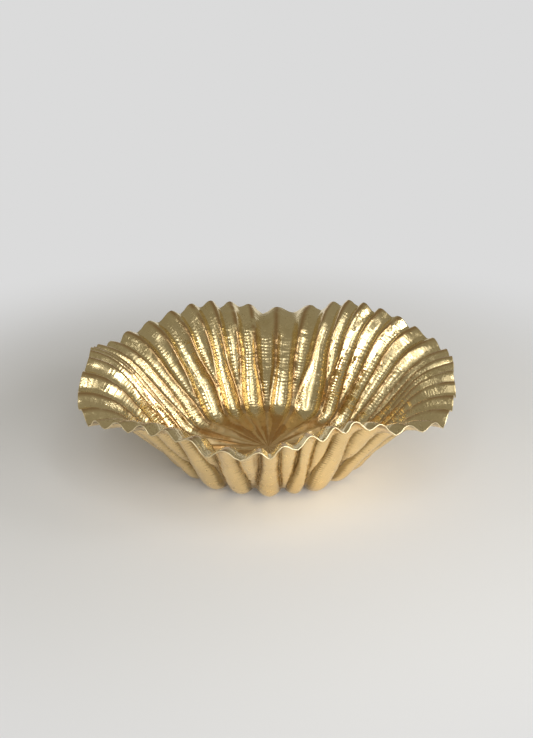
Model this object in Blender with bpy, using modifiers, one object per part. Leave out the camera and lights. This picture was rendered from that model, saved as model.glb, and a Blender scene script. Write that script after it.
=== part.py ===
"""A brass urli bowl raised from one sheet, and the felt disc under its floor.

Metres, +Z up. The origin is the centre of the felt's lower face, where the bowl stands.
The sheet starts as a flat turned blank. Every point of the blank has a reach (its distance
from the centre, measured along the metal) and a turn (its place around the bowl), and
raising the bowl carries that point to its place on the fluted, flared wall.
"""

import math

import bmesh
import bpy
import numpy as np

COLLECTION = "brass_urli_bowl"

# The sheet
SHEET_THICKNESS = 0.0010
SHEET_REACH = 0.2185         # centre to rim, measured along the metal
FLOOR_FALL = math.radians(4.0)   # the floor is a very low dome
HEEL_REACH = 0.0905          # where the floor turns up into the wall
HEEL_SPREAD = 0.034          # length of metal that the turn takes
WALL_SLOPE = math.radians(52.0)
LIP_REACH = 0.165            # where the wall starts to flare into the lip
LIP_SPREAD = 0.064
LIP_FALL = math.radians(48.0)    # how much flatter the lip would end than the wall

# The sway of the wall: (waves around the bowl, how far the rim leans out, crest angle)
SWAYS = (
    (1, 0.0080, math.radians(142)),
    (2, 0.0055, math.radians(-37)),
    (3, 0.0065, math.radians(-11.5)),
    (4, 0.0030, math.radians(-17)),
    (5, 0.0050, math.radians(8)),
    (6, 0.0130, math.radians(24.5)),
)
SWAY_SPREAD = 0.030          # length of metal over which the lean sets in

# The flutes: channels between ridges, each ridge splitting in two on its way up
FLUTES = 23                  # channels at the foot, twice as many at the rim
FLUTE_DEPTH = 0.0078
FLUTE_DEPTH_PER_WIDTH = 0.32
FLUTE_START_REACH = 0.010    # the flutes deepen from here
FLUTE_FULL_REACH = 0.090     # to here
FLUTE_START_TURN = 0.635     # of one flute, sets where the first ridge lies
SPLIT_REACH = 0.098          # mean reach at which a ridge starts to split
SPLIT_REACH_VARIES = 0.020
SPLIT_OPENING = 2.1          # how quickly the two halves of a ridge part
RIDGE_HALF_WIDTH = 0.12      # of half a flute, before it splits
RIDGE_WANDER = 0.10          # of half a flute, how far a ridge strays sideways
RIDGE_WANDER_REACH = 0.040
CREST_SOFTNESS = 0.10        # rounding of the ridges
FOOT_ROUNDNESS = 0.72        # broad round channels and narrow ridges on the wall
RIM_ROUNDNESS = 2.0          # an even wave at the rim
RIM_WAVE_REACH = 0.160       # where the section starts to change
RIM_WAVE_SPREAD = 0.055
LIP_VARIES = 0.20            # how unevenly the lip's channels were opened
# How uneven their spacing is: (waves around the bowl, share wider, where they are widest)
SPACINGS = (
    (1, 0.04, math.radians(-87)),
    (2, 0.085, math.radians(67.5)),
    (3, 0.08, math.radians(-32)),
    (6, 0.12, math.radians(18.5)),
)

# The felt disc, as thick as the room under the floor needs
FELT_RADIUS = 0.052
FELT_PROUD = 0.0005          # how far the felt holds the lobes off the table
FELT_EDGE = 0.0004
FELT_SIDES = 64
SEAT_GAP = 0.00035           # between the felt and the lowest lobes above it

# Mesh steps
STEPS_PER_HALF_FLUTE = 4
FLOOR_RINGS = 2              # from the centre to just outside the felt
HEEL_RINGS = 4
WALL_RINGS = 9
PATH_STEPS = 48              # steps in the sum that follows the metal from the centre

BRASS = ((0.74, 0.56, 0.25), 1.0, 0.24)
FELT = ((0.055, 0.045, 0.035), 0.0, 0.95)


def eased(value):
    """0 below 0, 1 above 1 and a smooth rise between."""
    share = np.clip(value, 0.0, 1.0)
    return share * share * (3.0 - 2.0 * share)


def lean(angle):
    """How far the rim leans out at each angle around the bowl."""
    return sum(size * np.cos(count * (angle - crest)) for count, size, crest in SWAYS)


def slope(angle, reach):
    """The sheet's slope, radially outwards, at each point of the mean wall."""
    heel = eased((reach - HEEL_REACH + HEEL_SPREAD / 2) / HEEL_SPREAD)
    lip = eased((reach - LIP_REACH) / LIP_SPREAD)
    leaning = eased((reach - HEEL_REACH) / SWAY_SPREAD)
    wall_length = SHEET_REACH - HEEL_REACH
    return (
        -FLOOR_FALL
        + (WALL_SLOPE + FLOOR_FALL) * heel
        - LIP_FALL * lip
        - lean(angle) / wall_length * leaning
    )


def mean_wall(angle, reach):
    """Radius, height above the centre and slope of the lobes' outer envelope."""
    steps = (np.arange(PATH_STEPS) + 0.5) / PATH_STEPS
    along = slope(angle[:, None], reach[:, None] * steps)
    step = reach / PATH_STEPS
    return np.cos(along).sum(1) * step, np.sin(along).sum(1) * step, slope(angle, reach)


def ridge(index, reach):
    """Centre and half width of a ridge, in half flutes, at each reach."""
    index = index % FLUTES
    stray = np.sin(index * 1.7) + np.sin(reach / RIDGE_WANDER_REACH + index * 2.9)
    start = SPLIT_REACH + SPLIT_REACH_VARIES * np.sin(1.6 * (index - 2))
    opened = eased(SPLIT_OPENING * (reach - start) / (SHEET_REACH - start))
    half_width = RIDGE_HALF_WIDTH + (0.5 - RIDGE_HALF_WIDTH) * opened
    fade = eased(reach / HEEL_REACH) * (1.0 - opened / 2)
    return RIDGE_WANDER * stray * fade, half_width, opened


def section(across, roundness):
    """Depth of a channel across its width: 0 on its ridges and 1 in the middle."""
    wave = np.sqrt(np.sin(math.pi * across) ** 2 + CREST_SOFTNESS**2) - CREST_SOFTNESS
    return (wave / (math.sqrt(1 + CREST_SOFTNESS**2) - CREST_SOFTNESS)) ** roundness


def raised(reach, turn):
    """Carries points of the blank to the bowl. A turn of 1 is one flute and its ridge."""
    index = np.floor(turn + 1e-6).astype(int)
    part = turn - index
    on_ridge = part < 0.5 - 1e-6
    stray, half_width, opened = ridge(index, reach)
    next_stray, next_half_width, _ = ridge(index + 1, reach)
    across = np.where(on_ridge, part / 0.5, (part - 0.5) / 0.5)
    left = np.where(on_ridge, stray - half_width, stray + half_width)
    right = np.where(on_ridge, stray + half_width, 2.0 + next_stray - next_half_width)
    place = (2 * index + left + (right - left) * across) / (2 * FLUTES)
    angle = 2 * math.pi * (place + FLUTE_START_TURN / FLUTES)
    angle = angle + sum(
        share / waves * np.sin(waves * (angle - widest)) for waves, share, widest in SPACINGS
    )

    radius, height, tilt = mean_wall(angle, reach)
    half_flute = math.pi / FLUTES * radius
    growth_length = FLUTE_FULL_REACH - FLUTE_START_REACH
    grown = FLUTE_DEPTH * eased((reach - FLUTE_START_REACH) / growth_length)
    deepest = np.minimum(FLUTE_DEPTH_PER_WIDTH * 1.6 * half_flute, grown)
    depth = np.minimum(FLUTE_DEPTH_PER_WIDTH * (right - left) * half_flute, grown)
    depth = np.where(on_ridge, depth * eased(opened / 0.6), depth)
    on_lip = eased((reach - RIM_WAVE_REACH) / RIM_WAVE_SPREAD)
    roundness = FOOT_ROUNDNESS + (RIM_ROUNDNESS - FOOT_ROUNDNESS) * on_lip
    unevenness = LIP_VARIES * np.sin(2.7 * (2 * index + ~on_ridge)) * on_lip
    inwards = deepest - depth * section(across, roundness) * (1 + unevenness)
    radius = radius - inwards * np.sin(tilt)
    height = height + inwards * np.cos(tilt)
    return np.stack([radius * np.cos(angle), radius * np.sin(angle), height], 1)


def felt_ring_reach():
    """Reach of the ring just outside the felt, so that the floor over it is known."""
    return FELT_RADIUS / math.cos(FLOOR_FALL) + FELT_EDGE


def ring_reaches():
    """Reach of each ring of the mesh, closest together where the heel turns."""
    heel_start = HEEL_REACH - HEEL_SPREAD / 2
    heel_end = HEEL_REACH + HEEL_SPREAD / 2
    floor = np.linspace(0.0, felt_ring_reach(), FLOOR_RINGS + 1)
    heel = np.linspace(heel_start, heel_end, HEEL_RINGS + 1)
    wall = np.linspace(heel_end, SHEET_REACH, WALL_RINGS + 1)
    return [*floor, *heel, *wall[1:]]


def clear_scene():
    for item in list(bpy.data.objects):
        bpy.data.objects.remove(item, do_unlink=True)


def material(name, look):
    colour, metallic, roughness = look
    made = bpy.data.materials.new(name)
    made.use_nodes = True
    made.diffuse_color = (*colour, 1.0)
    shader = made.node_tree.nodes["Principled BSDF"]
    shader.inputs["Base Color"].default_value = (*colour, 1.0)
    shader.inputs["Metallic"].default_value = metallic
    shader.inputs["Roughness"].default_value = roughness
    return made


def turned_blank(collection):
    """The flat sheet as a turned object: one radius, spun about +Z."""
    profile = bpy.data.meshes.new("blank_radius")
    points = [(reach, 0.0, 0.0) for reach in reversed(ring_reaches())]
    edges = [(i, i + 1) for i in range(len(points) - 1)]
    profile.from_pydata(points, edges, [])
    blank = bpy.data.objects.new("blank", profile)
    collection.objects.link(blank)
    screw = blank.modifiers.new("Turn", "SCREW")
    screw.axis = "Z"
    screw.angle = 2 * math.pi
    screw.steps = screw.render_steps = 2 * STEPS_PER_HALF_FLUTE * FLUTES
    screw.use_merge_vertices = True
    screw.merge_threshold = 0.00001
    evaluated = blank.evaluated_get(bpy.context.evaluated_depsgraph_get())
    sheet = bpy.data.meshes.new_from_object(evaluated)
    bpy.data.objects.remove(blank, do_unlink=True)
    return sheet


def bowl_shell(collection):
    """The brass sheet: the blank raised into its flutes, then given its thickness."""
    sheet = turned_blank(collection)
    sheet.name = "bowl_shell"
    flat = np.array([vertex.co for vertex in sheet.vertices])
    reach = np.hypot(flat[:, 0], flat[:, 1])
    turn = np.arctan2(flat[:, 1], flat[:, 0]) / (2 * math.pi) % 1.0 * FLUTES
    steps = 2 * STEPS_PER_HALF_FLUTE
    turn = np.round(turn * steps) / steps % FLUTES
    bowl = raised(reach, turn)
    bowl[:, 2] += FELT_PROUD - bowl[:, 2].min()
    for vertex, place in zip(sheet.vertices, bowl):
        vertex.co = place
    sheet.shade_smooth()
    sheet.materials.append(material("brass", BRASS))
    shell = bpy.data.objects.new("bowl_shell", sheet)
    collection.objects.link(shell)
    solidify = shell.modifiers.new("Sheet thickness", "SOLIDIFY")
    solidify.thickness = SHEET_THICKNESS
    solidify.offset = -1.0
    solidify.use_even_offset = False
    return shell


def room_under_floor(shell):
    """Height of the lowest lobe above the felt."""
    heights = [
        vertex.co.z
        for vertex in shell.data.vertices
        if math.hypot(vertex.co.x, vertex.co.y) <= felt_ring_reach()
    ]
    return min(heights)


def base_felt(collection, shell):
    """The round felt disc glued under the floor, with its lower face at height 0."""
    thickness = room_under_floor(shell) - SEAT_GAP
    disc = bmesh.new()
    bmesh.ops.create_cone(
        disc,
        cap_ends=True,
        segments=FELT_SIDES,
        radius1=FELT_RADIUS,
        radius2=FELT_RADIUS,
        depth=thickness,
    )
    bmesh.ops.translate(disc, verts=disc.verts, vec=(0.0, 0.0, thickness / 2))
    mesh = bpy.data.meshes.new("base_felt")
    disc.to_mesh(mesh)
    disc.free()
    mesh.materials.append(material("felt", FELT))
    felt = bpy.data.objects.new("base_felt", mesh)
    collection.objects.link(felt)
    bevel = felt.modifiers.new("Cut edge", "BEVEL")
    bevel.width = FELT_EDGE
    bevel.segments = 1
    bevel.limit_method = "ANGLE"
    return felt


def main():
    clear_scene()
    collection = bpy.data.collections.new(COLLECTION)
    bpy.context.scene.collection.children.link(collection)
    shell = bowl_shell(collection)
    base_felt(collection, shell)


main()
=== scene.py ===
"""The looks of the brass urli bowl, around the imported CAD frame. Metres, +Z up.

The bowl is raised from one flat disc of sheet. Each point of the disc has a reach (its
distance from the centre, measured along the metal), an index and an across (its flute and
its place across that flute's ridge or channel), and those carry it to the fluted wall.
"""

import math

import bpy
import numpy as np
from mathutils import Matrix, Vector, noise


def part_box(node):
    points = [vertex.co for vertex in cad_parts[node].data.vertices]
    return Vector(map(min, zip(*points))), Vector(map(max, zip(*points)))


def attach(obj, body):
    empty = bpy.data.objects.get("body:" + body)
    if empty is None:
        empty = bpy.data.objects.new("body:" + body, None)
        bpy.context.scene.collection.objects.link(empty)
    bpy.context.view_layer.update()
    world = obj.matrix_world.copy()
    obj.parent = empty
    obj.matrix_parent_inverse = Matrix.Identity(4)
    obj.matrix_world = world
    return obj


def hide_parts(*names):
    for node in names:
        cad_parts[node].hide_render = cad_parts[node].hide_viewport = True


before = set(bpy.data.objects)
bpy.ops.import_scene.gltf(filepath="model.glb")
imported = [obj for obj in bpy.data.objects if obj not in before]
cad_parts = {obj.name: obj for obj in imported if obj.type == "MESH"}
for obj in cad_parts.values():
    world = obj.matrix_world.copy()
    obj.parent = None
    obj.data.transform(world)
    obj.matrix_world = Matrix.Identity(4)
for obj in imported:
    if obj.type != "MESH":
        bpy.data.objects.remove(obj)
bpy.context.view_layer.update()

# The sheet, as the CAD model has it
SHEET_THICKNESS = 0.0010
SHEET_REACH = 0.2185         # centre to rim, measured along the metal
FLOOR_FALL = math.radians(4.0)
HEEL_REACH = 0.0905          # where the floor turns up into the wall
HEEL_SPREAD = 0.034
WALL_SLOPE = math.radians(52.0)
LIP_REACH = 0.165            # where the wall starts to flare into the lip
LIP_SPREAD = 0.064
LIP_FALL = math.radians(48.0)
SWAYS = (
    (1, 0.0080, math.radians(142)),
    (2, 0.0055, math.radians(-37)),
    (3, 0.0065, math.radians(-11.5)),
    (4, 0.0030, math.radians(-17)),
    (5, 0.0050, math.radians(8)),
    (6, 0.0130, math.radians(24.5)),
)
SWAY_SPREAD = 0.030
FLUTES = 23                  # channels at the foot, twice as many at the rim
FLUTE_DEPTH = 0.0078
FLUTE_DEPTH_PER_WIDTH = 0.32
FLUTE_START_REACH = 0.010
FLUTE_FULL_REACH = 0.090
FLUTE_START_TURN = 0.635
SPLIT_REACH = 0.098          # mean reach at which a ridge starts to split
SPLIT_REACH_VARIES = 0.020
SPLIT_OPENING = 2.1
SPLIT_DEEPENED = 0.6         # the share of the split by which the new channel is fully deep
WIDEST_CHANNEL = 1.6         # in half flutes
RIDGE_HALF_WIDTH = 0.12
RIDGE_WANDER = 0.10
RIDGE_WANDER_REACH = 0.040
CREST_SOFTNESS = 0.10
FOOT_ROUNDNESS = 0.72
RIM_ROUNDNESS = 2.0
RIM_WAVE_REACH = 0.160
RIM_WAVE_SPREAD = 0.055
SPACINGS = (
    (1, 0.04, math.radians(-87)),
    (2, 0.085, math.radians(67.5)),
    (3, 0.08, math.radians(-32)),
    (6, 0.12, math.radians(18.5)),
)

# The hammer work: rows of transverse marks, one row up each channel
STRIKE_PITCH = 0.0038        # between one mark and the next
STRIKE_PITCH_VARIES = 0.30   # of the pitch, within a row
STRIKE_PITCH_DIFFERS = 0.10  # of the pitch, from one row to another
STRIKE_DEPTH = 0.00050
STRIKE_HALF_LENGTH = 0.0034  # across the channel
STRIKE_OFF_CENTRE = 0.12     # of the channel's width
STRIKE_STRAYS = 0.16         # of the channel's width
STRIKE_FORCE = 0.85
STRIKE_FORCE_VARIES = 0.7
STRIKE_FORCE_LEAST, STRIKE_FORCE_MOST = 0.45, 1.3
PITCH_DRIFT_REACH = 0.018    # the reach over which each of these drifts
STRAY_DRIFT_REACH = 0.040
FORCE_DRIFT_REACH = 0.030
STRIKE_START_REACH = 0.050
STRIKE_START_SPREAD = 0.020
STRIKE_FREE_RIM = 0.010      # the rim is left plain over this much metal
STRIKE_FREE_RIM_DIFFERS = 0.6
STRIKE_END_SPREAD = 0.006
OUTER_STRIKE_DEPTH = 0.00030     # the marks show through the sheet, wider and softer
OUTER_STRIKE_HALF_LENGTH = 0.0075

# Smaller marks that follow each ridge
RIDGE_STRIKE_PITCH = 0.0030
RIDGE_STRIKE_PITCH_VARIES = 0.35
RIDGE_STRIKE_AWAY = 0.0042   # from the ridge to the middle of the mark
RIDGE_STRIKE_HALF_LENGTH = 0.0026
RIDGE_STRIKE_SHARE = 0.55    # of the depth of the main marks
RIDGE_STRIKE_FORCE = 0.6
RIDGE_STRIKE_FORCE_VARIES = 0.8
RIDGE_PITCH_DRIFT_REACH = 0.012
RIDGE_FORCE_DRIFT_REACH = 0.025

# Unevenness of the whole sheet
PLANISH_SIZE = 0.0072        # of the soft facets between the marks
PLANISH_DEPTH = 0.00034
PLANISH_FINE_SHARE = 0.6     # of smaller facets on the soft ones
PLANISH_FINE_SCALE = 2.3
LIP_VARIES = 0.20            # how unevenly the lip's channels were opened
TRIM_VARIES = 0.0016         # how unevenly the rim was cut
TRIM_LENGTH = 0.020
TRIM_START_REACH = 0.190
TRIM_START_SPREAD = 0.029
RIM_STRAYS = 0.0016          # how far the rim bends up and down between its flutes
RIM_STRAY_LENGTH = 0.026
EDGE_BULGE = 0.35            # of the thickness, on the cut edge

# What the materials need of the sheet
CREST_WIDTH = 0.0030         # of the painted brown reflection band along each ridge inside
CREASE_WIDTH = 0.0070        # of the painted shade band along each crease outside
STREAKS_PER_RADIAN = 9       # of the polishing streaks that run out across the floor
STREAK_REACH = 0.050

# Mesh steps
RIDGE_COLUMNS = 8            # across the ridge that splits, and its new channel
CHANNEL_COLUMNS = 12
INNER_FLOOR_ROWS = 40
INNER_WALL_ROWS = 230
OUTER_FLOOR_ROWS = 14
OUTER_WALL_ROWS = 110
EDGE_ROWS = 3
PATH_STEPS = 64
INSIDE_SLOT, OUTSIDE_SLOT, EDGE_SLOT = range(3)      # of the shell's materials
BAKE_INNER, BAKE_EDGE = 0.60, 0.02   # shares of the bake map's height, the outer side has the rest

FLOOR_END = HEEL_REACH - HEEL_SPREAD / 2


def eased(value):
    """0 below 0, 1 above 1 and a smooth rise between."""
    share = np.clip(value, 0.0, 1.0)
    return share * share * (3.0 - 2.0 * share)


def lean(angle):
    """How far the rim leans out at each angle around the bowl."""
    return sum(size * np.cos(count * (angle - crest)) for count, size, crest in SWAYS)


def slope(angle, reach):
    """The sheet's slope, radially outwards, at each point of the mean wall."""
    heel = eased((reach - HEEL_REACH + HEEL_SPREAD / 2) / HEEL_SPREAD)
    lip = eased((reach - LIP_REACH) / LIP_SPREAD)
    leaning = eased((reach - HEEL_REACH) / SWAY_SPREAD)
    wall_length = SHEET_REACH - HEEL_REACH
    return (
        -FLOOR_FALL
        + (WALL_SLOPE + FLOOR_FALL) * heel
        - LIP_FALL * lip
        - lean(angle) / wall_length * leaning
    )


def mean_wall(angle, reach):
    """Radius, height above the centre and slope of the lobes' outer envelope."""
    radius, height = np.zeros_like(angle), np.zeros_like(angle)
    step = reach / PATH_STEPS
    for index in range(PATH_STEPS):
        along = slope(angle, step * (index + 0.5))
        radius += np.cos(along) * step
        height += np.sin(along) * step
    return radius, height, slope(angle, reach)


def ridge(index, reach):
    """Sideways stray, half width and opening of a ridge, in half flutes, at each reach."""
    index = index % FLUTES
    stray = np.sin(index * 1.7) + np.sin(reach / RIDGE_WANDER_REACH + index * 2.9)
    start = SPLIT_REACH + SPLIT_REACH_VARIES * np.sin(1.6 * (index - 2))
    opened = eased(SPLIT_OPENING * (reach - start) / (SHEET_REACH - start))
    half_width = RIDGE_HALF_WIDTH + (0.5 - RIDGE_HALF_WIDTH) * opened
    fade = eased(reach / HEEL_REACH) * (1.0 - opened / 2)
    return RIDGE_WANDER * stray * fade, half_width, opened


def section(across, roundness):
    """Depth of a channel across its width: 0 on its ridges and 1 in the middle."""
    wave = np.sqrt(np.sin(math.pi * across) ** 2 + CREST_SOFTNESS**2) - CREST_SOFTNESS
    return (wave / (math.sqrt(1 + CREST_SOFTNESS**2) - CREST_SOFTNESS)) ** roundness


def fluted(reach, index, on_ridge, across):
    """The sheet's outer side, and how wide and how open the channel at each point is."""
    stray, half_width, opened = ridge(index, reach)
    next_stray, next_half_width, _ = ridge(index + 1, reach)
    left = np.where(on_ridge, stray - half_width, stray + half_width)
    right = np.where(on_ridge, stray + half_width, 2.0 + next_stray - next_half_width)
    place = (2 * index + left + (right - left) * across) / (2 * FLUTES)
    angle = 2 * math.pi * (place + FLUTE_START_TURN / FLUTES)
    angle = angle + sum(
        share / waves * np.sin(waves * (angle - widest)) for waves, share, widest in SPACINGS
    )

    radius, height, tilt = mean_wall(angle, reach)
    half_flute = math.pi / FLUTES * radius
    grown = FLUTE_DEPTH * eased((reach - FLUTE_START_REACH) / (FLUTE_FULL_REACH - FLUTE_START_REACH))
    deepest = np.minimum(FLUTE_DEPTH_PER_WIDTH * WIDEST_CHANNEL * half_flute, grown)
    width = (right - left) * half_flute
    opening = np.where(on_ridge, eased(opened / SPLIT_DEEPENED), 1.0)
    depth = np.minimum(FLUTE_DEPTH_PER_WIDTH * width, grown) * opening
    on_lip = eased((reach - RIM_WAVE_REACH) / RIM_WAVE_SPREAD)
    roundness = FOOT_ROUNDNESS + (RIM_ROUNDNESS - FOOT_ROUNDNESS) * on_lip
    unevenness = LIP_VARIES * np.sin(2.7 * (2 * index + ~on_ridge)) * on_lip
    inwards = deepest - depth * section(across, roundness) * (1 + unevenness)
    radius = radius - inwards * np.sin(tilt)
    height = height + inwards * np.cos(tilt)
    points = np.stack([radius * np.cos(angle), radius * np.sin(angle), height], -1)
    return points, width, opening


def smooth_noise(x, y, z, seed):
    """Perlin noise at each point, about -1 to 1."""
    shape = np.shape(x)
    values = [
        noise.noise(Vector((a + seed * 7.31, b - seed * 3.17, c + seed)))
        for a, b, c in zip(np.ravel(x), np.ravel(y), np.ravel(z))
    ]
    return np.reshape(values, shape)


def grid_normals(points):
    """Normals of a grid, rows up the wall and columns around it, facing inwards and up."""
    up = np.gradient(points, axis=0)
    around = np.roll(points, -1, 1) - np.roll(points, 1, 1)
    normal = np.cross(around, up)
    normal = normal / np.maximum(np.linalg.norm(normal, axis=2, keepdims=True), 1e-12)
    normal[0] = normal[1].mean(0) / np.linalg.norm(normal[1].mean(0))
    return normal * np.sign(normal[:, :, 2:].mean())


def sheet_side(reaches):
    """A grid over the whole sheet: its points, and what the hammer marks need of each."""
    ridge_side = np.arange(RIDGE_COLUMNS + CHANNEL_COLUMNS) < RIDGE_COLUMNS
    step = np.concatenate([
        np.arange(RIDGE_COLUMNS) / RIDGE_COLUMNS, np.arange(CHANNEL_COLUMNS) / CHANNEL_COLUMNS,
    ])
    across = np.tile(0.5 - 0.5 * np.cos(math.pi * step), FLUTES)
    index = np.repeat(np.arange(FLUTES), len(ridge_side))
    grid = np.meshgrid(reaches, np.arange(len(across)), indexing="ij")
    reach, column = grid[0], grid[1]
    across, index = across[column], index[column]
    ridge_side = np.tile(ridge_side, FLUTES)[column]
    points, width, opening = fluted(reach, index, ridge_side, across)
    return {
        "points": points, "reach": reach, "across": across, "width": width,
        "opening": opening, "channel": 2 * index + ~ridge_side,
    }


def pulses(count):
    """A smooth pulse from 0 to 1 and back in each step of count."""
    return 1 - (2 * (count % 1.0) - 1) ** 2


def strikes(side, half_length):
    """The rows of transverse marks, 0 between marks and 1 at the bottom of one.

    The odd factors on the channel keep neighbouring rows from matching.
    """
    reach, channel = side["reach"], side["channel"]

    def drift(length, factor, seed):
        return smooth_noise(reach / length, channel * factor, 0 * reach, seed)

    count = reach / STRIKE_PITCH * (1 + STRIKE_PITCH_DIFFERS * np.sin(channel * 4.1))
    mark = pulses(count + STRIKE_PITCH_VARIES * drift(PITCH_DRIFT_REACH, 1.37, 3))
    off_centre = STRIKE_OFF_CENTRE * np.sin(channel * 3.3)
    stray = STRIKE_STRAYS * drift(STRAY_DRIFT_REACH, 0.77, 8)
    place = (side["across"] - 0.5 - off_centre - stray) * side["width"]
    mark = mark * np.clip(1 - (place / half_length) ** 2, 0, 1)
    force = STRIKE_FORCE + STRIKE_FORCE_VARIES * drift(FORCE_DRIFT_REACH, 2.11, 5)
    mark = mark * np.clip(force, STRIKE_FORCE_LEAST, STRIKE_FORCE_MOST)

    count = reach / RIDGE_STRIKE_PITCH
    small = pulses(count + RIDGE_STRIKE_PITCH_VARIES * drift(RIDGE_PITCH_DRIFT_REACH, 2.71, 31))
    beside = (side["to_crest"] - RIDGE_STRIKE_AWAY) / RIDGE_STRIKE_HALF_LENGTH
    small = small * np.clip(1 - beside ** 2, 0, 1)
    force = RIDGE_STRIKE_FORCE + RIDGE_STRIKE_FORCE_VARIES * drift(RIDGE_FORCE_DRIFT_REACH, 3.17, 32)
    small = small * np.clip(force, 0.0, 1.0) * RIDGE_STRIKE_SHARE

    free_rim = STRIKE_FREE_RIM * (1 + STRIKE_FREE_RIM_DIFFERS * np.sin(channel * 1.9))
    started = eased((reach - STRIKE_START_REACH) / STRIKE_START_SPREAD)
    ended = eased((SHEET_REACH - reach - free_rim) / STRIKE_END_SPREAD)
    return np.maximum(mark, small) * started * ended * side["opening"]


def planishing(points):
    """The soft unevenness that the flat hammer leaves, about -1 to 1."""
    x, y, z = (points[..., axis] / PLANISH_SIZE for axis in range(3))
    fine_x, fine_y, fine_z = (PLANISH_FINE_SCALE * place for place in (x, y, z))
    return smooth_noise(x, y, z, 1) + PLANISH_FINE_SHARE * smooth_noise(fine_x, fine_y, fine_z, 2)


def rows(floor_rows, wall_rows):
    """Reach of each row of a side, from the centre out."""
    floor = FLOOR_END * (np.arange(floor_rows) / floor_rows)
    wall = np.linspace(FLOOR_END, SHEET_REACH, wall_rows + 1)
    return np.concatenate([floor, wall])


def worked_side(reaches, thickness, half_length, depth, crest_width):
    """One side of the sheet with its hammer work and its uneven rim."""
    side = sheet_side(reaches)
    points, reach = side["points"], side["reach"]
    side["to_crest"] = np.minimum(side["across"], 1 - side["across"]) * side["width"]
    side["strike"] = strikes(side, half_length)
    side["crest"] = np.maximum(1 - side["opening"], 1 - eased(side["to_crest"] / crest_width))
    from_centre = np.maximum(np.linalg.norm(points[..., :2], axis=2), 1e-9)
    turn = STREAKS_PER_RADIAN * points[..., :2] / from_centre[..., None]
    side["streak"] = smooth_noise(turn[..., 0], turn[..., 1], reach / STREAK_REACH, 21)

    def along_rim(length, seed):
        return smooth_noise(points[..., 0] / length, points[..., 1] / length, 0 * reach, seed)

    trim = TRIM_VARIES * along_rim(TRIM_LENGTH, 9)
    trim = trim * eased((reach - TRIM_START_REACH) / TRIM_START_SPREAD)
    lift = thickness - depth * side["strike"] + PLANISH_DEPTH * planishing(points)
    at_rim = eased((reach - LIP_REACH) / (SHEET_REACH - LIP_REACH))
    lift = lift + RIM_STRAYS * along_rim(RIM_STRAY_LENGTH, 17) * at_rim
    normal = grid_normals(points)
    up = np.gradient(points, axis=0)
    up = up / np.maximum(np.linalg.norm(up, axis=2, keepdims=True), 1e-12)
    side["points"] = points + up * trim[..., None] + normal * lift[..., None]
    return side


def rim_edge(inner, outer):
    """The rounded cut edge of the sheet, row by row from the inner side to the outer."""
    top, bottom = inner["points"][-1], outer["points"][-1]
    out = (top - inner["points"][-2]) + (bottom - outer["points"][-2])
    out = out / np.linalg.norm(out, axis=1, keepdims=True)
    edge = []
    for step in range(1, EDGE_ROWS + 1):
        share = step / (EDGE_ROWS + 1)
        bulge = math.sin(math.pi * share) * SHEET_THICKNESS * EDGE_BULGE
        edge.append(top + (bottom - top) * share + out * bulge)
    return np.array(edge)


def sheet_faces(row_count, columns):
    """Faces of the closed sheet and their places on the bake map, as (column, row) corners.

    The first vertex is the centre of the inner side, then come the rows, then the last
    vertex, the centre of the outer side.
    """
    row, column = np.meshgrid(np.arange(row_count - 1), np.arange(columns), indexing="ij")
    corner_rows = np.stack([row + 1, row + 1, row, row], -1).reshape(-1, 4)
    corner_columns = np.stack([column, column + 1, column + 1, column], -1).reshape(-1, 4)
    quads = 1 + corner_rows * columns + corner_columns % columns

    column = np.arange(columns)
    after = (column + 1) % columns
    last_row = 1 + (row_count - 1) * columns
    inner_fan = np.stack([np.zeros(columns, int), 1 + column, 1 + after], -1)
    outer_fan = np.stack([last_row + columns + 0 * column, last_row + after, last_row + column], -1)
    faces = [*quads.tolist(), *inner_fan.tolist(), *outer_fan.tolist()]

    inner_columns = np.stack([column + 0.5, column, column + 1], -1)
    outer_columns = np.stack([column + 0.5, column + 1, column], -1)
    inner_fan_rows = np.tile([-1, 0, 0], columns)
    outer_fan_rows = np.tile([row_count, row_count - 1, row_count - 1], columns)
    map_columns = np.concatenate([a.ravel() for a in (corner_columns, inner_columns, outer_columns)])
    map_rows = np.concatenate([corner_rows.ravel(), inner_fan_rows, outer_fan_rows])
    return faces, map_columns, map_rows


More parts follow.
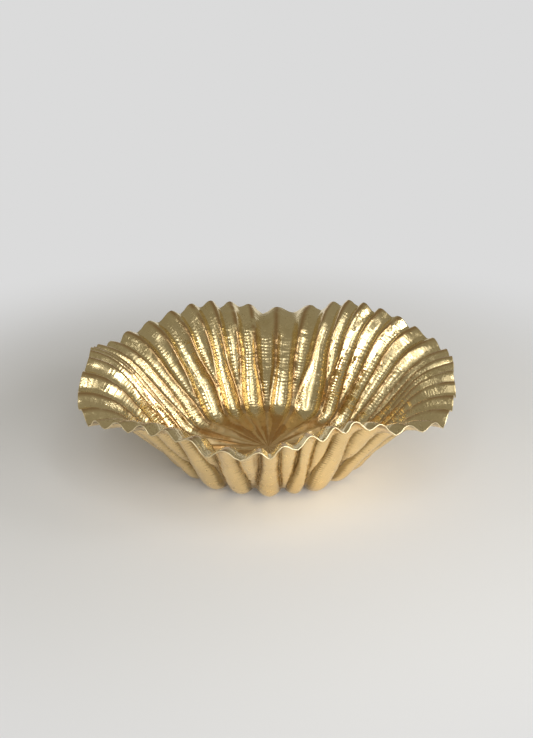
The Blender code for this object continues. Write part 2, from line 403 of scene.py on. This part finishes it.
def build_shell():
    """The whole bowl: the worked inner side, the cut edge and the outer side, closed."""
    inner = worked_side(
        rows(INNER_FLOOR_ROWS, INNER_WALL_ROWS), SHEET_THICKNESS,
        STRIKE_HALF_LENGTH, STRIKE_DEPTH, CREST_WIDTH,
    )
    outer = worked_side(
        rows(OUTER_FLOOR_ROWS, OUTER_WALL_ROWS), 0.0,
        OUTER_STRIKE_HALF_LENGTH, OUTER_STRIKE_DEPTH, CREASE_WIDTH,
    )
    columns = inner["points"].shape[1]
    edge = rim_edge(inner, outer)
    body = np.concatenate([inner["points"][1:], edge, outer["points"][1:][::-1]])
    vertices = np.concatenate([
        inner["points"][0, :1], body.reshape(-1, 3), outer["points"][0, :1],
    ])
    vertices[:, 2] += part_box("bowl_shell")[0].z - vertices[:, 2].min()
    faces, map_columns, map_rows = sheet_faces(len(body), columns)
    mesh = bpy.data.meshes.new("bowl_shell_fine")
    mesh.from_pydata(vertices.tolist(), [], faces)
    mesh.shade_smooth()

    row = np.repeat(np.arange(len(body) - 1), columns)
    inner_rows = len(inner["points"]) - 1
    outside_or_edge = np.where(row < inner_rows + EDGE_ROWS, EDGE_SLOT, OUTSIDE_SLOT)
    slot = np.where(row < inner_rows - 1, INSIDE_SLOT, outside_or_edge)
    slot = np.concatenate([slot, np.full(columns, INSIDE_SLOT), np.full(columns, OUTSIDE_SLOT)])
    mesh.polygons.foreach_set("material_index", slot.astype(np.int32))

    for name in ("reach", "crest", "strike", "streak"):
        rim = np.repeat(inner[name][-1:], EDGE_ROWS, 0)
        values = np.concatenate([inner[name][1:], rim, outer[name][1:][::-1]]).reshape(-1)
        values = np.concatenate([[inner[name][0, 0]], values, [outer[name][0, 0]]])
        made = mesh.attributes.new(name, "FLOAT", "POINT")
        made.data.foreach_set("value", values.astype(np.float32))

    heights = np.concatenate([
        [0.0],
        np.linspace(0, BAKE_INNER, inner_rows + 1)[1:],
        BAKE_INNER + BAKE_EDGE * np.arange(1, EDGE_ROWS + 1) / (EDGE_ROWS + 1),
        np.linspace(BAKE_INNER + BAKE_EDGE, 1.0, len(outer["points"])),
    ])
    bake_map = mesh.uv_layers.new(name="OFBake")
    places = np.stack([map_columns / columns, heights[map_rows + 1]], -1)
    bake_map.data.foreach_set("uv", places.ravel())

    shell = bpy.data.objects.new("bowl_shell_fine", mesh)
    bpy.context.scene.collection.objects.link(shell)
    return shell


# Colours of the metal and the felt, linear
INSIDE_BRIGHT, INSIDE_DULL = (0.93, 0.77, 0.44), (0.84, 0.68, 0.36)
# Painted reflection: the brown line along each ridge inside
RIDGE_REFLECTION_BROWN = (0.58, 0.35, 0.15)
FLOOR_DARK, FLOOR_PALE = (0.66, 0.38, 0.14), (1.0, 0.76, 0.42)
# Painted shade in the pits inside
PIT_SHADE_OLIVE = (0.52, 0.38, 0.15)
OUTSIDE_BRIGHT, OUTSIDE_DULL = (0.95, 0.74, 0.40), (0.88, 0.67, 0.35)
# Painted shade in the creases outside
CREASE_PAINTED_SHADE = (0.30, 0.20, 0.07)
# Painted shade in the hollows between the marks outside
DASH_PAINTED_SHADE = (0.34, 0.23, 0.09)
EDGE_BRIGHT, EDGE_DULL = (0.94, 0.82, 0.56), (0.80, 0.64, 0.36)
FELT_DARK, FELT_PALE = (0.030, 0.022, 0.016), (0.105, 0.082, 0.062)

# Depths of the fine relief
PIT_DEPTH = 0.00012
OUTSIDE_GRAIN_DEPTH = 0.00004
FILE_MARK_DEPTH = 0.00004
FIBRE_DEPTH = 0.00025

FLOOR_TINT_FROM, FLOOR_TINT_TO = 0.078, 0.058        # reaches between which the floor turns browner
FLOOR_TINT_STRAYS = 0.030


def node(tree, kind, inputs=(), **settings):
    """A new shader node: its settings, then its inputs, each a value or another's output."""
    made = tree.nodes.new(kind)
    for name, value in settings.items():
        setattr(made, name, value)
    for name, value in dict(inputs).items():
        if isinstance(value, bpy.types.NodeSocket):
            tree.links.new(value, made.inputs[name])
        else:
            made.inputs[name].default_value = value
    return made


def attribute(tree, name):
    return node(tree, "ShaderNodeAttribute", attribute_name=name).outputs["Fac"]


def maths(tree, operation, first, second):
    return node(tree, "ShaderNodeMath", {0: first, 1: second}, operation=operation).outputs[0]


def ramp(tree, value, start, end, low=0.0, high=1.0):
    """A smooth change from low to high as the value goes from start to end."""
    inputs = {"Value": value, "From Min": start, "From Max": end, "To Min": low, "To Max": high}
    return node(
        tree, "ShaderNodeMapRange", inputs, interpolation_type="SMOOTHSTEP"
    ).outputs["Result"]


def cloud(tree, scale, detail=3.0, roughness=0.5, stretch=None):
    """Noise over the object, about 0 to 1. Scale is in features a metre."""
    place = node(tree, "ShaderNodeTexCoord").outputs["Object"]
    if stretch:
        place = node(tree, "ShaderNodeMapping", {"Vector": place, "Scale": stretch}).outputs[0]
    inputs = {"Vector": place, "Scale": scale, "Detail": detail, "Roughness": roughness}
    return node(tree, "ShaderNodeTexNoise", inputs).outputs["Fac"]


def blended(tree, factor, first, second):
    """A colour between two, which are outputs or red, green and blue."""
    made = node(tree, "ShaderNodeMix", data_type="RGBA")
    tree.links.new(factor, made.inputs["Factor"])
    for name, colour in (("A", first), ("B", second)):
        if isinstance(colour, tuple):
            made.inputs[name].default_value = (*colour, 1.0)
        else:
            tree.links.new(colour, made.inputs[name])
    return made.outputs["Result"]


def principled(name):
    made = bpy.data.materials.new(name)
    made.use_nodes = True
    return made, made.node_tree, made.node_tree.nodes["Principled BSDF"]


def pitted(tree, shader, height, depth):
    """Bump of a real depth in metres, from a height of 0 to 1."""
    bump = node(tree, "ShaderNodeBump", {"Height": height, "Strength": 1.0, "Distance": depth})
    tree.links.new(bump.outputs["Normal"], shader.inputs["Normal"])


def inside_brass():
    """Polished brass, browner and duller on the floor, with a painted brown reflection line along each
    ridge and painted shade in its pits.
    """
    made, tree, shader = principled("brass_inside")
    shader.inputs["Metallic"].default_value = 1.0
    patches = ramp(tree, cloud(tree, 38.0, 4.0, 0.6), 0.42, 0.72)
    colour = blended(tree, patches, INSIDE_BRIGHT, INSIDE_DULL)
    # painted reflection: a brown line along each ridge, in patches, where the sharp crest would mirror
    # darker parts of the studio
    painted_ridge_reflection = maths(tree, "MULTIPLY", attribute(tree, "crest"), ramp(tree, cloud(tree, 60.0), 0.25, 0.5))
    colour = blended(tree, maths(tree, "MULTIPLY", painted_ridge_reflection, 0.9), colour, RIDGE_REFLECTION_BROWN)
    edge_of_floor = maths(tree, "MULTIPLY", cloud(tree, 90.0, 3.0), FLOOR_TINT_STRAYS)
    reach = maths(tree, "SUBTRACT", attribute(tree, "reach"), edge_of_floor)
    floor = ramp(tree, reach, FLOOR_TINT_FROM, FLOOR_TINT_TO)
    streak = ramp(tree, attribute(tree, "streak"), -0.35, 0.35)
    blotch = maths(tree, "ADD", maths(tree, "MULTIPLY", streak, 0.5), cloud(tree, 120.0, 5.0, 0.7))
    tint = blended(tree, ramp(tree, blotch, 0.60, 0.90), FLOOR_DARK, FLOOR_PALE)
    colour = blended(tree, maths(tree, "MULTIPLY", floor, 0.85), colour, tint)
    place = node(tree, "ShaderNodeTexCoord").outputs["Object"]
    pits = node(tree, "ShaderNodeTexVoronoi", {"Vector": place, "Scale": 430.0, "Randomness": 1.0})
    where = ramp(tree, cloud(tree, 70.0, 2.0), 0.48, 0.66, 0.15, 1.0)
    # painted shade: olive darkening in the middle of each pit, within the pitted patches
    pit_shade = maths(tree, "MULTIPLY", ramp(tree, pits.outputs["Distance"], 0.42, 0.15), where)
    colour = blended(tree, maths(tree, "MULTIPLY", pit_shade, 0.7), colour, PIT_SHADE_OLIVE)
    tree.links.new(colour, shader.inputs["Base Color"])

    dull = ramp(tree, cloud(tree, 150.0, 4.0, 0.6), 0.35, 0.70, 0.10, 0.30)
    dull = maths(tree, "ADD", dull, maths(tree, "MULTIPLY", floor, 0.20))
    tree.links.new(dull, shader.inputs["Roughness"])
    pits = maths(tree, "MULTIPLY", ramp(tree, pits.outputs["Distance"], 0.0, 0.6), where)
    grain = maths(tree, "ADD", pits, maths(tree, "MULTIPLY", cloud(tree, 900.0, 2.0), 0.6))
    pitted(tree, shader, grain, PIT_DEPTH)
    return made


def outside_brass():
    """Satin brass with painted shade in its creases and painted dark dashes beside them."""
    made, tree, shader = principled("brass_outside")
    shader.inputs["Metallic"].default_value = 1.0
    patches = ramp(tree, cloud(tree, 30.0, 4.0, 0.6), 0.35, 0.75)
    colour = blended(tree, patches, OUTSIDE_BRIGHT, OUTSIDE_DULL)
    crest = attribute(tree, "crest")
    # painted shade: the creases outside darkened in patches, as if shade fell in them
    crease_shade = ramp(tree, cloud(tree, 220.0, 4.0, 0.65), 0.25, 0.65, 0.45, 1.0)
    crease_shade = maths(tree, "MULTIPLY", maths(tree, "POWER", crest, 2.4), crease_shade)
    colour = blended(tree, maths(tree, "MULTIPLY", crease_shade, 0.95), colour, CREASE_PAINTED_SHADE)
    # painted shade: dark dashes in the hollows between the marks, near each crease
    between = ramp(tree, attribute(tree, "strike"), 0.30, 0.02)
    dash_shade = maths(tree, "MULTIPLY", between, ramp(tree, crest, 0.0, 0.4))
    colour = blended(tree, maths(tree, "MULTIPLY", dash_shade, 0.85), colour, DASH_PAINTED_SHADE)
    tree.links.new(colour, shader.inputs["Base Color"])
    dull = ramp(tree, cloud(tree, 180.0, 3.0), 0.3, 0.7, 0.20, 0.28)
    tree.links.new(dull, shader.inputs["Roughness"])
    grain = maths(tree, "ADD", cloud(tree, 500.0, 3.0), maths(tree, "MULTIPLY", cloud(tree, 1800.0), 0.3))
    pitted(tree, shader, grain, OUTSIDE_GRAIN_DEPTH)
    return made


def edge_brass():
    """The rim's cut edge, filed bright, with file marks."""
    made, tree, shader = principled("brass_edge")
    shader.inputs["Metallic"].default_value = 1.0
    colour = blended(tree, cloud(tree, 300.0, 3.0), EDGE_BRIGHT, EDGE_DULL)
    tree.links.new(colour, shader.inputs["Base Color"])
    tree.links.new(ramp(tree, cloud(tree, 700.0), 0.3, 0.7, 0.28, 0.42), shader.inputs["Roughness"])
    pitted(tree, shader, cloud(tree, 2500.0), FILE_MARK_DEPTH)
    return made


def pressed_felt():
    """Dark brown felt: matted fibres of slightly different browns."""
    made, tree, shader = principled("pressed_felt")
    colour = blended(tree, cloud(tree, 900.0, 5.0, 0.7), FELT_DARK, FELT_PALE)
    tree.links.new(colour, shader.inputs["Base Color"])
    shader.inputs["Roughness"].default_value = 1.0
    shader.inputs["Sheen Weight"].default_value = 0.6
    shader.inputs["Sheen Roughness"].default_value = 0.5
    fibres = cloud(tree, 2200.0, 4.0, 0.7, stretch=(1.0, 0.35, 1.0))
    pitted(tree, shader, fibres, FIBRE_DEPTH)
    return made


# The felt disc
FELT_COLUMNS = 240
FELT_FACE_RINGS = 26
FELT_EDGE_RINGS = 6
FELT_CUT_VARIES = 0.0004     # how unevenly its edge was cut
FELT_NAP = 0.00010           # how uneven its faces are
FELT_NAP_SIZE = 0.0021
FELT_CORNER = 0.22           # of the thickness, the radius of its pressed corners
FELT_CUT_WAVES = 4           # in a radian of the outline


def build_felt():
    """The disc with softened edges, a hand-cut outline and a napped surface."""
    low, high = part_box("base_felt")
    thickness = high.z - low.z
    radius = (high.x - low.x) / 2 - FELT_CUT_VARIES
    turn = np.arange(FELT_COLUMNS) / FELT_COLUMNS * 2 * math.pi
    around = FELT_CUT_WAVES * np.cos(turn), FELT_CUT_WAVES * np.sin(turn), 0 * turn
    outline = radius + FELT_CUT_VARIES * smooth_noise(*around, 12)
    corner = thickness * FELT_CORNER
    rings = []
    for share in np.linspace(0, 1, FELT_FACE_RINGS + 1)[1:-1]:
        rings.append(((radius - corner) * share, low.z))
    for middle, start, end in (
        (low.z + corner, -math.pi / 2, 0), (high.z - corner, 0, math.pi / 2),
    ):
        for angle in np.linspace(start, end, FELT_EDGE_RINGS):
            out = radius - corner + corner * math.cos(angle)
            rings.append((out, middle + corner * math.sin(angle)))
    for share in np.linspace(1, 0, FELT_FACE_RINGS + 1)[1:-1]:
        rings.append(((radius - corner) * share, high.z))
    place = np.array(rings)
    wide = place[:, :1] * outline[None, :] / radius
    x, y = wide * np.cos(turn), wide * np.sin(turn)
    z = np.repeat(place[:, 1:], FELT_COLUMNS, 1)
    nap = smooth_noise(x / FELT_NAP_SIZE, y / FELT_NAP_SIZE, z / FELT_NAP_SIZE, 14) * FELT_NAP
    middle = (low.z + high.z) / 2
    z = z - np.sign(z - middle) * (FELT_NAP + nap) * eased(np.abs(z - middle) / (thickness / 2))
    body = np.stack([x, y, z], -1).reshape(-1, 3)
    vertices = np.concatenate([[[0, 0, low.z + FELT_NAP]], body, [[0, 0, high.z - FELT_NAP]]])
    faces, _, _ = sheet_faces(len(rings), FELT_COLUMNS)
    mesh = bpy.data.meshes.new("felt_disc")
    mesh.from_pydata(vertices.tolist(), [], [face[::-1] for face in faces])
    mesh.shade_smooth()
    felt = bpy.data.objects.new("felt_disc", mesh)
    bpy.context.scene.collection.objects.link(felt)
    return felt


shell = build_shell()
for material in (inside_brass(), outside_brass(), edge_brass()):
    shell.data.materials.append(material)
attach(shell, "root")
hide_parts("bowl_shell")

felt = build_felt()
felt.data.materials.append(pressed_felt())
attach(felt, "root")
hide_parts("base_felt")


# The camera, at the height and distance of a table-top studio shot
CAMERA_ELEVATION = math.radians(24)
CAMERA_DISTANCE = 1.246
CAMERA_TARGET = Vector((-0.0018, 0.0, 0.0931))
CAMERA_LENS = 63.1           # millimetres
CAMERA_SENSOR = 36

# The paper sweep: flat under the bowl, then curved up behind it
SWEEP_FRONT = -2.2
SWEEP_BACK = 0.8
SWEEP_CURVE = 0.7
SWEEP_TURN = 56.0            # of the curve, in degrees
SWEEP_HALF_WIDTH = 2.6
SWEEP_STEPS = 24
PAPER = 0.80
PAPER_SHINES = 0.708         # radiance of the far paper, evenly lit
PAPER_EVEN_FROM, PAPER_EVEN_TO = 0.26, 0.62          # distances from the bowl's middle
PAPER_EVEN_SHARE = 0.10      # of the even light, under the bowl

# Softboxes: (name, azimuth from the front, elevation, distance, width, height, radiance)
SOFTBOXES = (
    ("front_low", 38, 14, 1.8, 1.6, 0.5, 10.5),
    ("front_wide", 0, 48, 1.7, 1.9, 1.6, 0.52),
    ("front_left_strip", -14, 44, 1.6, 0.15, 0.9, 4.0),
    ("front_right_strip", 26, 44, 1.6, 0.15, 0.9, 4.0),
    ("top", 22, 62, 1.45, 0.4, 0.3, 2.2),
    ("right_wide", 75, 28, 1.6, 1.0, 0.8, 0.7),
    ("right", 72, 34, 1.55, 0.35, 0.3, 6.0),
    ("left", -75, 42, 1.9, 0.4, 0.3, 1.2),
)
LIGHTS_AIM = Vector((0, 0, 0.05))
ROOM = 0.26                  # radiance of the rest of the studio
ROOM_COLOUR = (1.0, 0.93, 0.76)


def build_camera():
    data = bpy.data.cameras.new("camera")
    data.lens = CAMERA_LENS
    data.sensor_width = CAMERA_SENSOR
    camera = bpy.data.objects.new("camera", data)
    back = Vector((0, -math.cos(CAMERA_ELEVATION), math.sin(CAMERA_ELEVATION)))
    camera.location = CAMERA_TARGET + back * CAMERA_DISTANCE
    camera.rotation_mode = "QUATERNION"
    camera.rotation_quaternion = (-back).to_track_quat("-Z", "Y")
    bpy.context.scene.collection.objects.link(camera)
    bpy.context.scene.camera = camera


def paper():
    """Matt white paper that passes into an evenly lit white away from the bowl."""
    made, tree, shader = principled("paper")
    shader.inputs["Base Color"].default_value = (PAPER, PAPER, PAPER, 1.0)
    shader.inputs["Roughness"].default_value = 0.9
    shader.inputs["Specular IOR Level"].default_value = 0.1
    place = node(tree, "ShaderNodeTexCoord").outputs["Object"]
    away = node(tree, "ShaderNodeVectorMath", {0: place}, operation="LENGTH").outputs["Value"]
    even = node(tree, "ShaderNodeEmission", {"Color": (1, 1, 1, 1), "Strength": PAPER_SHINES})
    share = ramp(tree, away, PAPER_EVEN_FROM, PAPER_EVEN_TO, PAPER_EVEN_SHARE)
    inputs = {0: share, 1: shader.outputs[0], 2: even.outputs[0]}
    mixed = node(tree, "ShaderNodeMixShader", inputs)
    tree.links.new(mixed.outputs[0], tree.nodes["Material Output"].inputs["Surface"])
    return made


def build_sweep():
    angles = np.radians(np.linspace(0, SWEEP_TURN, SWEEP_STEPS))
    curve = [
        (SWEEP_BACK + SWEEP_CURVE * math.sin(a), SWEEP_CURVE * (1 - math.cos(a))) for a in angles
    ]
    profile = [(SWEEP_FRONT, 0.0), *curve]
    vertices = [(side * SWEEP_HALF_WIDTH, y, z) for y, z in profile for side in (-1, 1)]
    faces = [(2 * i, 2 * i + 1, 2 * i + 3, 2 * i + 2) for i in range(len(profile) - 1)]
    mesh = bpy.data.meshes.new("sweep")
    mesh.from_pydata(vertices, [], faces)
    mesh.shade_smooth()
    mesh.materials.append(paper())
    sweep = bpy.data.objects.new("sweep", mesh)
    bpy.context.scene.collection.objects.link(sweep)


def build_softboxes():
    for name, azimuth, elevation, distance, width, height, radiance in SOFTBOXES:
        turn, rise = math.radians(azimuth), math.radians(elevation)
        data = bpy.data.lights.new(name, "AREA")
        data.shape = "RECTANGLE"
        data.size, data.size_y = width, height
        data.energy = radiance * math.pi * width * height
        light = bpy.data.objects.new(name, data)
        direction = Vector((
            math.sin(turn) * math.cos(rise), -math.cos(turn) * math.cos(rise), math.sin(rise),
        ))
        light.location = LIGHTS_AIM + direction * distance
        light.rotation_mode = "QUATERNION"
        light.rotation_quaternion = (-direction).to_track_quat("-Z", "Y")
        bpy.context.scene.collection.objects.link(light)


def build_world():
    world = bpy.data.worlds.new("studio")
    bpy.context.scene.world = world
    world.use_nodes = True
    background = world.node_tree.nodes["Background"]
    background.inputs["Color"].default_value = (*ROOM_COLOUR, 1.0)
    background.inputs["Strength"].default_value = ROOM
    bpy.context.scene.view_settings.view_transform = "Standard"


build_camera()
build_sweep()
build_softboxes()
build_world()
